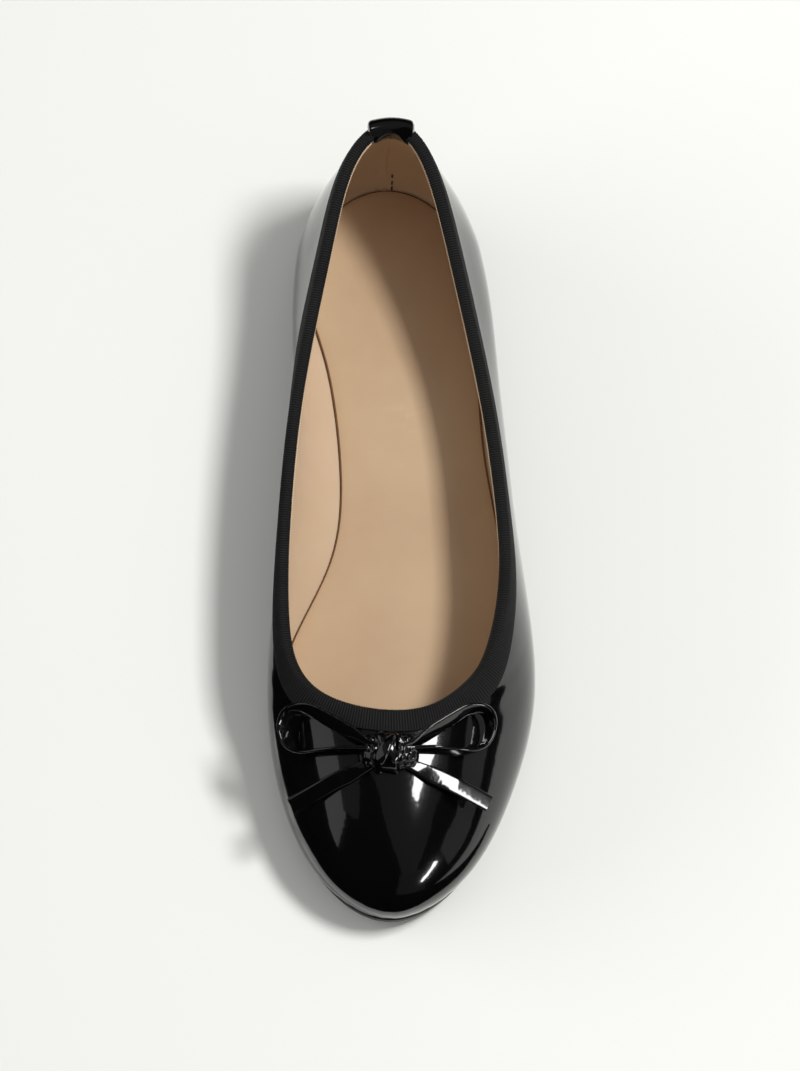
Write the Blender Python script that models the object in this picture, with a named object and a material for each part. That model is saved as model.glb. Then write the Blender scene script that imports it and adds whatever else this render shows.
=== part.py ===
"""A left ballet flat of black patent leather: sole, low heel, insole, hollow upper, ribbed collar tape,
heel tab and a bow of narrow strip. Metres, +Z up, toe to -Y, the shoe's outer side to +X."""

import math
from collections import namedtuple

import bmesh
import bpy
import numpy as np
from mathutils import Vector
from mathutils.bvhtree import BVHTree

# The shoe's driving sizes
LENGTH = 0.2550
BALL_WIDTH = 0.0836
WAIST_WIDTH = 0.0700
HEEL_WIDTH = 0.0648
BACK_RISE = 0.0512
SIDE_RISE = 0.0320
INSTEP_RISE = 0.0367
WALL = 0.0016

# The sole, the heel and the insole
SOLE_THICKNESS = 0.0030
SOLE_MARGIN = 0.0002
SOLE_CHAMFER = 0.0006
TOE_SPRING = 0.0048
HEEL_LIFT = 0.0085
TOP_LIFT_THICKNESS = 0.0025
HEEL_INSET = 0.0008
HEEL_TAPER = 0.0012
BREAST_HOLLOW = 0.0040
INSOLE_THICKNESS = 0.0028
INSOLE_EDGE = 0.0007

# The collar tape and the tab over it
TAPE_THICKNESS = 0.0007
TAPE_OUTER_LEG = 0.0058
TAPE_INNER_LEG = 0.0024
TAB_WIDTH = 0.0142
TAB_THICKNESS = 0.0010
TAB_OUTER_LEG = 0.0160
TAB_INNER_LEG = 0.0042
TAB_STEP = 0.0012
TAB_CORNER_LIFT = 0.0013

# The bow
STRIP_WIDTH = 0.0052
STRIP_THICKNESS = 0.0011
BOW_REACH = 0.0330
BOW_LENGTH = 0.0240
TAIL_FREE = 0.0100
KNOT_WIDTH = 0.0140
KNOT_LENGTH = 0.0115
KNOT_HEIGHT = 0.0070
KNOT_SQUARENESS = 3.2

# Pieces that meet stay this far apart
GAP = 0.0003

# Places along the shoe, as shares of its length from the middle, minus to the toe
TREAD_FRONT = -0.330
TREAD_BACK = -0.150
BREAST = 0.220
BOW_ACROSS = -0.105
BOW_ALONG = -0.322
KNOT_ALONG = -0.05

# Steps around the shoe between two sections, and up the wall. The feather band is how far up the wall
# its slope is read where it meets the sole.
STEPS = 5
FEATHER_BAND = 0.05
OUTER_RINGS = (0.0, 0.05, 0.11, 0.18, 0.26, 0.35, 0.45, 0.56, 0.68, 0.80, 0.91, 1.0)
INNER_RINGS = (1.0, 0.88, 0.75, 0.61, 0.47, 0.34, 0.22, 0.11, 0.0)

# One row for each section of the wall, from the feather line where it meets the sole, over the swell and
# the shoulder, which shape the curve, to the rim of the collar. Each place is (across, along, up):
# across is a share of half the row's width, along of the length, and up of the row's rise over the sole.
Section = namedtuple("Section", "place width rise feather swell shoulder rim")
SECTIONS = (
    Section("heel back", HEEL_WIDTH, BACK_RISE,
            (-0.060, 0.478, 0.0), (-0.060, 0.518, 0.20), (-0.060, 0.492, 0.67), (-0.065, 0.469, 1.00)),
    Section("outer heel corner", HEEL_WIDTH, BACK_RISE,
            (0.570, 0.433, 0.0), (0.785, 0.455, 0.20), (0.400, 0.440, 0.62), (0.302, 0.431, 0.93)),
    Section("outer heel", HEEL_WIDTH, BACK_RISE,
            (0.827, 0.329, 0.0), (1.125, 0.335, 0.14), (0.670, 0.335, 0.45), (0.549, 0.333, 0.742)),
    Section("outer shank", WAIST_WIDTH, SIDE_RISE,
            (0.770, 0.216, 0.0), (1.150, 0.216, 0.16), (0.780, 0.218, 0.57), (0.694, 0.218, 0.975)),
    Section("outer waist", WAIST_WIDTH, SIDE_RISE,
            (0.815, 0.106, 0.0), (1.185, 0.106, 0.16), (0.905, 0.108, 0.57), (0.837, 0.108, 0.93)),
    Section("outer joint", WAIST_WIDTH, SIDE_RISE,
            (0.960, -0.004, 0.0), (1.210, -0.004, 0.20), (1.000, 0.000, 0.62), (0.926, 0.000, 0.98)),
    Section("outer tread", BALL_WIDTH, INSTEP_RISE,
            (0.905, -0.114, 0.0), (1.115, -0.114, 0.20), (0.890, -0.106, 0.61), (0.787, -0.102, 0.905)),
    Section("outer ball", BALL_WIDTH, INSTEP_RISE,
            (0.938, -0.220, 0.0), (1.165, -0.222, 0.24), (0.820, -0.204, 0.72), (0.665, -0.196, 0.925)),
    Section("outer vamp", BALL_WIDTH, INSTEP_RISE,
            (0.785, -0.326, 0.0), (0.998, -0.354, 0.33), (0.640, -0.278, 0.825), (0.467, -0.244, 0.96)),
    Section("outer toe corner", BALL_WIDTH, INSTEP_RISE,
            (0.450, -0.442, 0.0), (0.596, -0.470, 0.42), (0.350, -0.371, 0.825), (0.203, -0.273, 0.99)),
    Section("toe", BALL_WIDTH, INSTEP_RISE,
            (-0.086, -0.498, 0.0), (-0.086, -0.515, 0.41), (-0.089, -0.416, 0.805), (-0.091, -0.280, 1.00)),
    Section("inner toe corner", BALL_WIDTH, INSTEP_RISE,
            (-0.585, -0.443, 0.0), (-0.718, -0.470, 0.42), (-0.535, -0.372, 0.825), (-0.383, -0.272, 0.99)),
    Section("inner vamp", BALL_WIDTH, INSTEP_RISE,
            (-0.865, -0.333, 0.0), (-1.006, -0.354, 0.31), (-0.820, -0.282, 0.81), (-0.653, -0.250, 0.96)),
    Section("inner ball", BALL_WIDTH, INSTEP_RISE,
            (-0.940, -0.228, 0.0), (-1.060, -0.229, 0.21), (-0.960, -0.210, 0.68), (-0.852, -0.200, 0.925)),
    Section("inner tread", BALL_WIDTH, INSTEP_RISE,
            (-0.800, -0.126, 0.0), (-1.010, -0.126, 0.21), (-0.965, -0.116, 0.61), (-0.900, -0.110, 0.91)),
    Section("inner joint", WAIST_WIDTH, SIDE_RISE,
            (-0.600, -0.020, 0.0), (-0.971, -0.018, 0.20), (-1.080, -0.012, 0.65), (-1.049, -0.012, 1.00)),
    Section("inner waist", WAIST_WIDTH, SIDE_RISE,
            (-0.530, 0.098, 0.0), (-0.910, 0.098, 0.20), (-0.985, 0.104, 0.600), (-0.971, 0.104, 0.935)),
    Section("inner shank", WAIST_WIDTH, SIDE_RISE,
            (-0.632, 0.216, 0.0), (-1.120, 0.216, 0.256), (-0.930, 0.218, 0.60), (-0.834, 0.218, 0.975)),
    Section("inner heel", HEEL_WIDTH, BACK_RISE,
            (-0.889, 0.329, 0.0), (-1.210, 0.333, 0.14), (-0.815, 0.335, 0.45), (-0.707, 0.333, 0.742)),
    Section("inner heel corner", HEEL_WIDTH, BACK_RISE,
            (-0.688, 0.433, 0.0), (-0.895, 0.455, 0.20), (-0.560, 0.438, 0.62), (-0.472, 0.429, 0.93)),
)
COUNT = len(SECTIONS)
STATIONS = [step / STEPS for step in range(COUNT * STEPS)]

# The route of a loop's lower edge, from the knot round the far end and back, and of a tail's middle.
# out is a share of the way from the knot's side to the bow's reach, along a share of the bow's length,
# minus to the toe, and clear is how far the strip stands off the leather, as a share of its own width.
Turn = namedtuple("Turn", "out along clear")
LOOP = (
    Turn(0.03, 0.07, 0.42), Turn(0.20, 0.23, 0.46), Turn(0.43, 0.43, 0.48), Turn(0.62, 0.59, 0.46),
    Turn(0.77, 0.58, 0.40), Turn(0.84, 0.38, 0.24), Turn(0.80, 0.13, 0.10), Turn(0.66, 0.00, 0.08),
    Turn(0.43, -0.03, 0.08), Turn(0.20, -0.04, 0.10), Turn(0.03, -0.05, 0.14),
)
TAIL = (
    Turn(0.07, -0.26, 0.14), Turn(0.20, -0.32, 0.10), Turn(0.35, -0.385, 0.12), Turn(0.50, -0.46, 0.16),
)


def underside(along):
    """The height of the outsole's underside over the floor, at a place along the shoe in metres."""
    toe = max(0.0, (TREAD_FRONT * LENGTH - along) / (TREAD_FRONT * LENGTH + LENGTH / 2))
    arch = (along - TREAD_BACK * LENGTH) / ((BREAST - TREAD_BACK) * LENGTH)
    arch = min(1.0, max(0.0, arch))
    return TOE_SPRING * toe ** 2 + HEEL_LIFT * (3 * arch ** 2 - 2 * arch ** 3)


def seat(along):
    """The height at which the upper and the insole sit, just over the outsole."""
    return underside(along) + SOLE_THICKNESS + GAP


def real_place(section, place):
    across, along, up = place
    y = along * LENGTH
    return (across * section.width / 2, y, seat(y) + up * section.rise)


def bends_of(values):
    """The second derivatives of the smooth closed curve through evenly numbered values."""
    count = len(values)
    one = np.eye(count)
    matrix = 4 * one + np.roll(one, 1, axis=0) + np.roll(one, -1, axis=0)
    change = np.roll(values, -1, axis=0) - 2 * values + np.roll(values, 1, axis=0)
    return np.linalg.solve(matrix, 6 * change.reshape(count, -1)).reshape(values.shape)


CONTROLS = np.array([
    [real_place(section, place) for place in (section.feather, section.swell, section.shoulder, section.rim)]
    for section in SECTIONS
])
BENDS = bends_of(CONTROLS)


def controls_at(station):
    """The four control places of the wall's curve at a station, which counts sections round the shoe."""
    first = math.floor(station)
    t = station - first
    a, b = first % COUNT, (first + 1) % COUNT
    straight = (1 - t) * CONTROLS[a] + t * CONTROLS[b]
    return straight + ((1 - t) ** 3 - (1 - t)) / 6 * BENDS[a] + (t ** 3 - t) / 6 * BENDS[b]


def wall_point(station, v, offset=0.0):
    """A point on the upper's outer surface, v of the way from feather to rim, moved out by offset."""
    p0, p1, p2, p3 = controls_at(station)
    point = (1 - v) ** 3 * p0 + 3 * v * (1 - v) ** 2 * p1 + 3 * v ** 2 * (1 - v) * p2 + v ** 3 * p3
    if offset:
        point = point + offset * wall_normal(station, v)
    return point


def wall_normal(station, v):
    """The outward unit normal of the upper's outer surface."""
    step = 0.01
    along = wall_point(station + step, v) - wall_point(station - step, v)
    low, high = max(0.0, v - step), min(1.0, v + step)
    up = wall_point(station, high) - wall_point(station, low)
    normal = np.cross(up, along)
    return normal / np.linalg.norm(normal)


def rim_point(station, depth, offset):
    """A point by the rim: depth is measured down the wall, minus above the rim, offset outwards."""
    p0, p1, p2, p3 = controls_at(station)
    end = 3 * (p3 - p2)
    speed = np.linalg.norm(end)
    if depth > 0:
        return wall_point(station, 1 - depth / speed, offset)
    return wall_point(station, 1.0, offset) - depth * end / speed


def level_inward(station, v):
    """The unit direction into the shoe, kept level."""
    inward = -wall_normal(station, v)
    inward[2] = 0.0
    return inward / np.linalg.norm(inward)


def level_move(station, v, distance):
    """The level move into the shoe that ends at a distance from the wall, measured square to it."""
    inward = level_inward(station, v)
    return inward * distance / -np.dot(inward, wall_normal(station, v))


def inner_point(station, v):
    """A point on the lining. At the feather line it stays at the height of the wall's own edge."""
    if v > 0:
        return wall_point(station, v, -WALL)
    point = wall_point(station, 0.0) + level_move(station, FEATHER_BAND, WALL)
    point[2] = seat(point[1])
    return point


def lining_at(station, rise, clear):
    """The lining's place at a height over the sole, moved in by a clearance."""
    points = [inner_point(station, v) for v in reversed(INNER_RINGS)]
    rises = [point[2] - seat(point[1]) for point in points]
    k = next(k for k in range(1, len(points)) if rises[k] > rise)
    t = (rise - rises[k - 1]) / (rises[k] - rises[k - 1])
    return points[k - 1] + t * (points[k] - points[k - 1]) + level_move(station, FEATHER_BAND, clear)


def material(name, colour, roughness):
    made = bpy.data.materials.new(name)
    made.use_nodes = True
    shader = made.node_tree.nodes["Principled BSDF"]
    shader.inputs["Base Color"].default_value = (*colour, 1.0)
    shader.inputs["Roughness"].default_value = roughness
    made.diffuse_color = (*colour, 1.0)
    return made


def add_object(name, points, faces, finish):
    """A closed mesh object, its faces turned outwards."""
    work = bmesh.new()
    verts = [work.verts.new(Vector(point)) for point in points]
    for face in faces:
        work.faces.new([verts[i] for i in face])
    bmesh.ops.recalc_face_normals(work, faces=work.faces)
    mesh = bpy.data.meshes.new(name)
    work.to_mesh(mesh)
    work.free()
    mesh.shade_smooth()
    mesh.set_sharp_from_angle(angle=math.radians(40))
    mesh.materials.append(finish)
    made = bpy.data.objects.new(name, mesh)
    bpy.context.scene.collection.objects.link(made)
    made.parent = SHOE
    return made


def ring_faces(first, second, count):
    """Quads between two closed rings of points that start at two indices."""
    faces = []
    for i in range(count):
        j = (i + 1) % count
        faces.append((first + i, first + j, second + j, second + i))
    return faces


def tube_object(name, rings, finish, capped=False):
    """Closed rings of equal count joined in turn. Uncapped, the last ring joins the first."""
    count = len(rings[0])
    points = [point for ring in rings for point in ring]
    faces = []
    for k in range(len(rings) - 1):
        faces += ring_faces(k * count, (k + 1) * count, count)
    last = (len(rings) - 1) * count
    if capped:
        faces.append(tuple(range(count)))
        faces.append(tuple(last + i for i in range(count)))
    else:
        faces += ring_faces(last, 0, count)
    return add_object(name, points, faces, finish)


def rungs(start, count):
    """Faces that fill a ring with strips across the shoe, from the heel back to the toe."""
    half = count // 2
    faces = []
    for i in range(half):
        a, b = i, i + 1
        c, d = (count - i - 1) % count, (count - i) % count
        corners = [start + k for k in dict.fromkeys((a, b, c, d))]
        faces.append(tuple(corners))
    return faces


def plate_object(name, rings, finish):
    """A solid plate: rings from the edge of its lower face round to the edge of its upper face."""
    count = len(rings[0])
    points = [point for ring in rings for point in ring]
    faces = []
    for k in range(len(rings) - 1):
        faces += ring_faces(k * count, (k + 1) * count, count)
    faces += rungs(0, count)
    faces += rungs((len(rings) - 1) * count, count)
    return add_object(name, points, faces, finish)


def sole_ring(margin, rise):
    """The feather line moved out by margin, at a rise over the outsole's underside."""
    ring = []
    for station in STATIONS:
        x, y, z = wall_point(station, 0.0) - margin * level_inward(station, 0.0)
        ring.append((x, y, underside(y) + rise))
    return ring


def make_outsole():
    edge = SOLE_MARGIN
    bevel = SOLE_CHAMFER
    rings = [
        sole_ring(edge - bevel, 0.0),
        sole_ring(edge, bevel),
        sole_ring(edge, SOLE_THICKNESS - bevel),
        sole_ring(edge - bevel, SOLE_THICKNESS),
    ]
    return plate_object("outsole", rings, material("black sole sheet", (0.03, 0.03, 0.03), 0.55))


def sole_edge(station, margin):
    """A place on the feather line seen from above, moved out by margin."""
    return (wall_point(station, 0.0) - margin * level_inward(station, 0.0))[:2]


def breast_station(side, margin):
    """The station at which the sole's outline crosses the breast line: 1 is the outer side, -1 the inner."""
    near, far = 0.0, side * COUNT / 2
    for _ in range(40):
        middle = (near + far) / 2
        if sole_edge(middle, margin)[1] > BREAST * LENGTH:
            near = middle
        else:
            far = middle
    return near


def heel_ring(height, inset):
    """The back of the sole's outline at a height, closed by a breast that is hollowed a little."""
    margin = SOLE_MARGIN - HEEL_INSET - inset
    inner, outer = breast_station(-1, margin), breast_station(1, margin)
    around, across = 30, 8
    stations = [inner + (outer - inner) * k / around for k in range(around + 1)]
    ring = [(*sole_edge(station, margin), height) for station in stations]
    first, last = ring[0], ring[-1]
    for k in range(1, across):
        t = k / across
        hollow = BREAST_HOLLOW * 4 * t * (1 - t)
        ring.append((last[0] + t * (first[0] - last[0]), BREAST * LENGTH + hollow, height))
    return ring


def make_heel():
    block = material("black heel block", (0.02, 0.02, 0.02), 0.35)
    rubber = material("black rubber top piece", (0.03, 0.03, 0.03), 0.7)
    top = heel_ring(HEEL_LIFT - GAP, 0.0)
    bottom = heel_ring(TOP_LIFT_THICKNESS + GAP, HEEL_TAPER)
    tube_object("heel", [top, bottom], block, capped=True)
    top = heel_ring(TOP_LIFT_THICKNESS, HEEL_TAPER)
    bottom = heel_ring(0.0, HEEL_TAPER)
    tube_object("top_lift", [top, bottom], rubber, capped=True)


def make_insole():
    low, high = [], []
    top = []
    for station in STATIONS:
        x, y, z = inner_point(station, 0.0) + level_move(station, FEATHER_BAND, GAP)
        low.append((x, y, seat(y)))
        high.append(lining_at(station, INSOLE_THICKNESS - INSOLE_EDGE, GAP))
        top.append(lining_at(station, INSOLE_THICKNESS, GAP + INSOLE_EDGE))
    return plate_object("insole", [low, high, top], material("beige insole leather", (0.56, 0.41, 0.27), 0.5))


def make_upper():
    rings = [[wall_point(station, v) for station in STATIONS] for v in OUTER_RINGS]
    rings += [[inner_point(station, v) for station in STATIONS] for v in INNER_RINGS]
    return tube_object("upper", rings, material("black patent upper", (0.012, 0.012, 0.012), 0.08))


def folded_section(near, far, crown, outer_leg, inner_leg):
    """The section of a strip folded over the rim, as (depth, offset): near and far are its two faces'
    distances from the leather, and crown is how high its inside runs over the rim."""
    middle = -WALL / 2
    return (
        (outer_leg, near), (outer_leg, far), (outer_leg / 2, far), (0.0, far),
        (-crown - (far - near), middle + (far - middle) / 2), (-crown - (far - near), middle - (far - middle) / 2),
        (0.0, -WALL - far), (inner_leg, -WALL - far), (inner_leg, -WALL - near),
        (0.0, -WALL - near), (-crown, -WALL), (-crown, 0.0), (0.0, near), (outer_leg / 2, near),
    )


def make_tape():
    section = folded_section(GAP, GAP + TAPE_THICKNESS, GAP, TAPE_OUTER_LEG, TAPE_INNER_LEG)
    rings = [[rim_point(station, depth, offset) for station in STATIONS] for depth, offset in section]
    return tube_object("topline_binding", rings, material("black grosgrain tape", (0.02, 0.02, 0.022), 0.8))


def tab_station(side, depth, offset):
    """The station at which the tab is its own width across, from -1 at one edge to 1 at the other."""
    middle = rim_point(0.0, depth, offset)
    station = 0.3 * side
    for _ in range(4):
        reach = np.linalg.norm(rim_point(station, depth, offset) - middle)
        if reach:
            station = station * abs(side) * TAB_WIDTH / 2 / reach
    return station


def make_tab():
    """The tab follows the tape, steps down to the leather below it, and stands off at its two ends."""
    near = 2 * GAP + TAPE_THICKNESS
    far = near + TAB_THICKNESS
    crown = GAP + TAPE_THICKNESS + GAP
    below = TAPE_OUTER_LEG + TAB_STEP
    half = (TAB_OUTER_LEG + below) / 2
    section = [(TAB_OUTER_LEG, GAP), (TAB_OUTER_LEG, GAP + TAB_THICKNESS), (half, GAP + TAB_THICKNESS)]
    section += [(below, 2 * GAP + TAB_THICKNESS), (TAPE_OUTER_LEG, far), (TAPE_OUTER_LEG / 2, far)]
    section += folded_section(near, far, crown, TAPE_OUTER_LEG, TAB_INNER_LEG)[3:13]
    section += [(TAPE_OUTER_LEG / 2, near), (TAPE_OUTER_LEG + GAP, near), (below, 2 * GAP), (half, GAP)]
    pieces = 10
    rings = []
    for k in range(pieces + 1):
        side = 2 * k / pieces - 1
        ring = []
        for depth, offset in section:
            fade = 1 - min(1.0, max(0.0, depth) / TAB_OUTER_LEG)
            lift = TAB_CORNER_LIFT * side ** 2 * fade if offset > -WALL / 2 else 0.0
            ring.append(rim_point(tab_station(side, depth, offset), depth, offset + lift))
        rings.append(ring)
    return tube_object("heel_tab", rings, material("black patent tab", (0.012, 0.012, 0.012), 0.1), capped=True)


def smooth_route(turns, count):
    """Even points on the smooth open curve through the turns, ends included."""
    values = np.array([tuple(turn) for turn in turns])
    last = len(values) - 1
    route = []
    for k in range(count):
        place = last * k / (count - 1)
        i = min(int(place), last - 1)
        t = place - i
        before = values[i - 1] if i > 0 else 2 * values[0] - values[1]
        after = values[i + 2] if i + 2 <= last else 2 * values[last] - values[last - 1]
        a, b = values[i], values[i + 1]
        route.append(
            a + t * ((b - before) / 2 + t * (before - 2.5 * a + 2 * b - after / 2)
                     + t ** 2 * (1.5 * (a - b) + (after - before) / 2))
        )
    return route


def surface_under(tree, x, y):
    """The leather's point and normal straight below a place."""
    hit, normal, _, _ = tree.ray_cast(Vector((x, y, 1.0)), Vector((0.0, 0.0, -1.0)))
    return np.array(hit), np.array(normal if normal.z > 0 else -normal)


def vamp_tree():
    """A fine copy of the wall's outer surface, for seating the bow. It isn't part of the shoe."""
    ups = [k / 40 for k in range(41)]
    places = [k / 10 for k in range(70, 141)]
    points = [Vector(wall_point(station, v)) for station in places for v in ups]
    wide = len(ups)
    faces = []
    for i in range(len(places) - 1):
        for j in range(wide - 1):
            a = i * wide + j
            faces.append((a, a + 1, a + wide + 1, a + wide))
    return BVHTree.FromPolygons(points, faces)


def strip_object(name, spine, wide_ways, width, thickness, finish):
    """A flat strip with rounded edges along a spine; wide_ways say which way its width runs."""
    corner = thickness * 0.3
    half, thin = width / 2, thickness / 2
    outline = (
        (-half, -thin + corner), (-half + corner, -thin), (half - corner, -thin), (half, -thin + corner),
        (half, thin - corner), (half - corner, thin), (-half + corner, thin), (-half, thin - corner),
    )
    rings = []
    for k, (place, wide) in enumerate(zip(spine, wide_ways)):
        ahead = spine[min(k + 1, len(spine) - 1)] - spine[max(k - 1, 0)]
        ahead = ahead / np.linalg.norm(ahead)
        wide = wide - ahead * np.dot(wide, ahead)
        wide = wide / np.linalg.norm(wide)
        thick = np.cross(ahead, wide)
        rings.append([place + a * wide + b * thick for a, b in outline])
    return tube_object(name, rings, finish, capped=True)


def bow_place(side, out, along):
    knot_side = KNOT_WIDTH / 2 + GAP
    x = BOW_ACROSS * BALL_WIDTH / 2 + side * (knot_side + out * (BOW_REACH - knot_side))
    y = BOW_ALONG * LENGTH + along * BOW_LENGTH
    return x, y


def make_loop(name, side, tree, finish):
    spine, wide_ways = [], []
    for out, along, clear in smooth_route(LOOP, 30):
        x, y = bow_place(side, out, along)
        ground, normal = surface_under(tree, x, y)
        spine.append(ground + normal * (GAP + clear * STRIP_WIDTH + STRIP_WIDTH / 2))
        wide_ways.append(normal)
    return strip_object(name, spine, wide_ways, STRIP_WIDTH, STRIP_THICKNESS, finish)


def make_tail(name, side, tree, finish):
    spine, wide_ways = [], []
    route = smooth_route(TAIL, 12)
    for k, (out, along, clear) in enumerate(route):
        x, y = bow_place(side, out, along)
        ground, normal = surface_under(tree, x, y)
        spine.append(ground + normal * (GAP + clear * STRIP_WIDTH + STRIP_THICKNESS / 2))
        ahead = route[min(k + 1, len(route) - 1)] - route[max(k - 1, 0)]
        run = (side * ahead[0] * (BOW_REACH - KNOT_WIDTH / 2), ahead[1] * BOW_LENGTH, 0.0)
        wide_ways.append(np.cross(normal, run))
    last = spine[-1]
    run_on = (last - spine[-2]) / np.linalg.norm(last - spine[-2])
    for share in (0.35, 0.7, 1.0):
        spine.append(last + share * TAIL_FREE * run_on)
        wide_ways.append(wide_ways[-1])
    return strip_object(name, spine, wide_ways, STRIP_WIDTH, STRIP_THICKNESS, finish)


def make_knot(tree, finish):
    """A rounded block, flat where it faces the leather, with a waist where the strip is wrapped."""
    x = BOW_ACROSS * BALL_WIDTH / 2
    y = BOW_ALONG * LENGTH + KNOT_ALONG * BOW_LENGTH
    ground, normal = surface_under(tree, x, y)
    across = np.array((1.0, 0.0, 0.0))
    across = across - normal * np.dot(across, normal)
    across = across / np.linalg.norm(across)
    ahead = np.cross(normal, across)
    rings = []
    around = 16
    levels = (0.0, 0.12, 0.4, 0.7, 0.92, 1.0)
    swell = (0.86, 0.97, 1.0, 0.93, 0.68, 0.36)
    for level, size in zip(levels, swell):
        ring = []
        for k in range(around):
            angle = 2 * math.pi * k / around
            across_share, ahead_share = abs(math.cos(angle)), abs(math.sin(angle))
            square = (across_share ** KNOT_SQUARENESS + ahead_share ** KNOT_SQUARENESS) ** (-1 / KNOT_SQUARENESS)
            a = KNOT_WIDTH / 2 * size * square * math.cos(angle)
            b = KNOT_LENGTH / 2 * size * square * math.sin(angle)
            foot = ground + a * across + b * ahead
            below, _ = surface_under(tree, foot[0], foot[1])
            rise = 2 * GAP + level * KNOT_HEIGHT
            ring.append(foot + normal * rise + (1 - level) * (below - foot))
        rings.append(ring)
    return tube_object("bow_knot", rings, finish, capped=True)


def make_bow():
    tree = vamp_tree()
    finish = material("black patent strip", (0.012, 0.012, 0.012), 0.08)
    for side, word in ((1, "outer"), (-1, "inner")):
        make_loop("bow_loop_" + word, side, tree, finish)
        make_tail("bow_tail_" + word, side, tree, finish)
    make_knot(tree, finish)


def stand_on_origin():
    """Moves the whole shoe so that the middle of its box's underside is at the origin."""
    corners = []
    for made in SHOE.children:
        corners += [vert.co for vert in made.data.vertices]
    corners = np.array(corners)
    low, high = corners.min(axis=0), corners.max(axis=0)
    middle = (low + high) / 2
    SHOE.location = (-middle[0], -middle[1], -low[2])


for old in list(bpy.data.objects):
    bpy.data.objects.remove(old)
SHOE = bpy.data.objects.new("ballet_flat", None)
bpy.context.scene.collection.objects.link(SHOE)
make_outsole()
make_heel()
make_insole()
make_upper()
make_tape()
make_tab()
make_bow()
stand_on_origin()
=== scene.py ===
"""The looks of one left ballet flat in black patent leather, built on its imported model.
Metres, +Z up, the toe to -Y and the shoe's outer side to +X. The sections follow the shoemaker:
upper, lining, insole, sole, heel, collar tape, tab and bow, and then the floor, the light and the camera."""

import math

import bmesh
import bpy
import numpy as np
from mathutils import Euler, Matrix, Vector, noise
from mathutils.bvhtree import BVHTree


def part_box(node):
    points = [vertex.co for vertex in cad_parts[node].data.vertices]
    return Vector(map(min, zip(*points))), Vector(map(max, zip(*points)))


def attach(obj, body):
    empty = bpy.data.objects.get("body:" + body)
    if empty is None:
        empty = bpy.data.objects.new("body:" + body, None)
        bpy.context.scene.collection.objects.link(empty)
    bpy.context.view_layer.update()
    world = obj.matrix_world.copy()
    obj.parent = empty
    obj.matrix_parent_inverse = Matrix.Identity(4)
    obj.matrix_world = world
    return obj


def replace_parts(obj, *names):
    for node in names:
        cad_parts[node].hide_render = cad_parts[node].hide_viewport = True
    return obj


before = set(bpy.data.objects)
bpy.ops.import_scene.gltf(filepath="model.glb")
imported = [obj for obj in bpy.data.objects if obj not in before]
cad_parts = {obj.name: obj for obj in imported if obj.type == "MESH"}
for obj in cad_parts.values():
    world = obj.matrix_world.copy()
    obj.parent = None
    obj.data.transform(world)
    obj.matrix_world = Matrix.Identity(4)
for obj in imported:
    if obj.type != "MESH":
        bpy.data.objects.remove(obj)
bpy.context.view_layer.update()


# The upper: one skin of patent calf, wet-pulled over the last and tucked under at the feather line, where
# the sole is cemented on. Its form is the last's, drawn by the same sections as the solid model's.
LENGTH = 0.2550
BALL_WIDTH = 0.0836
WAIST_WIDTH = 0.0700
HEEL_WIDTH = 0.0648
BACK_RISE = 0.0512
SIDE_RISE = 0.0320
INSTEP_RISE = 0.0367
WALL = 0.0016
SKIN = 0.0008
GAP = 0.0003
SOLE_THICKNESS = 0.0030
TOE_SPRING = 0.0048
HEEL_LIFT = 0.0085
TREAD_FRONT = -0.330
TREAD_BACK = -0.150
BREAST = 0.220
FEATHER_BAND = 0.05

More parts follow.
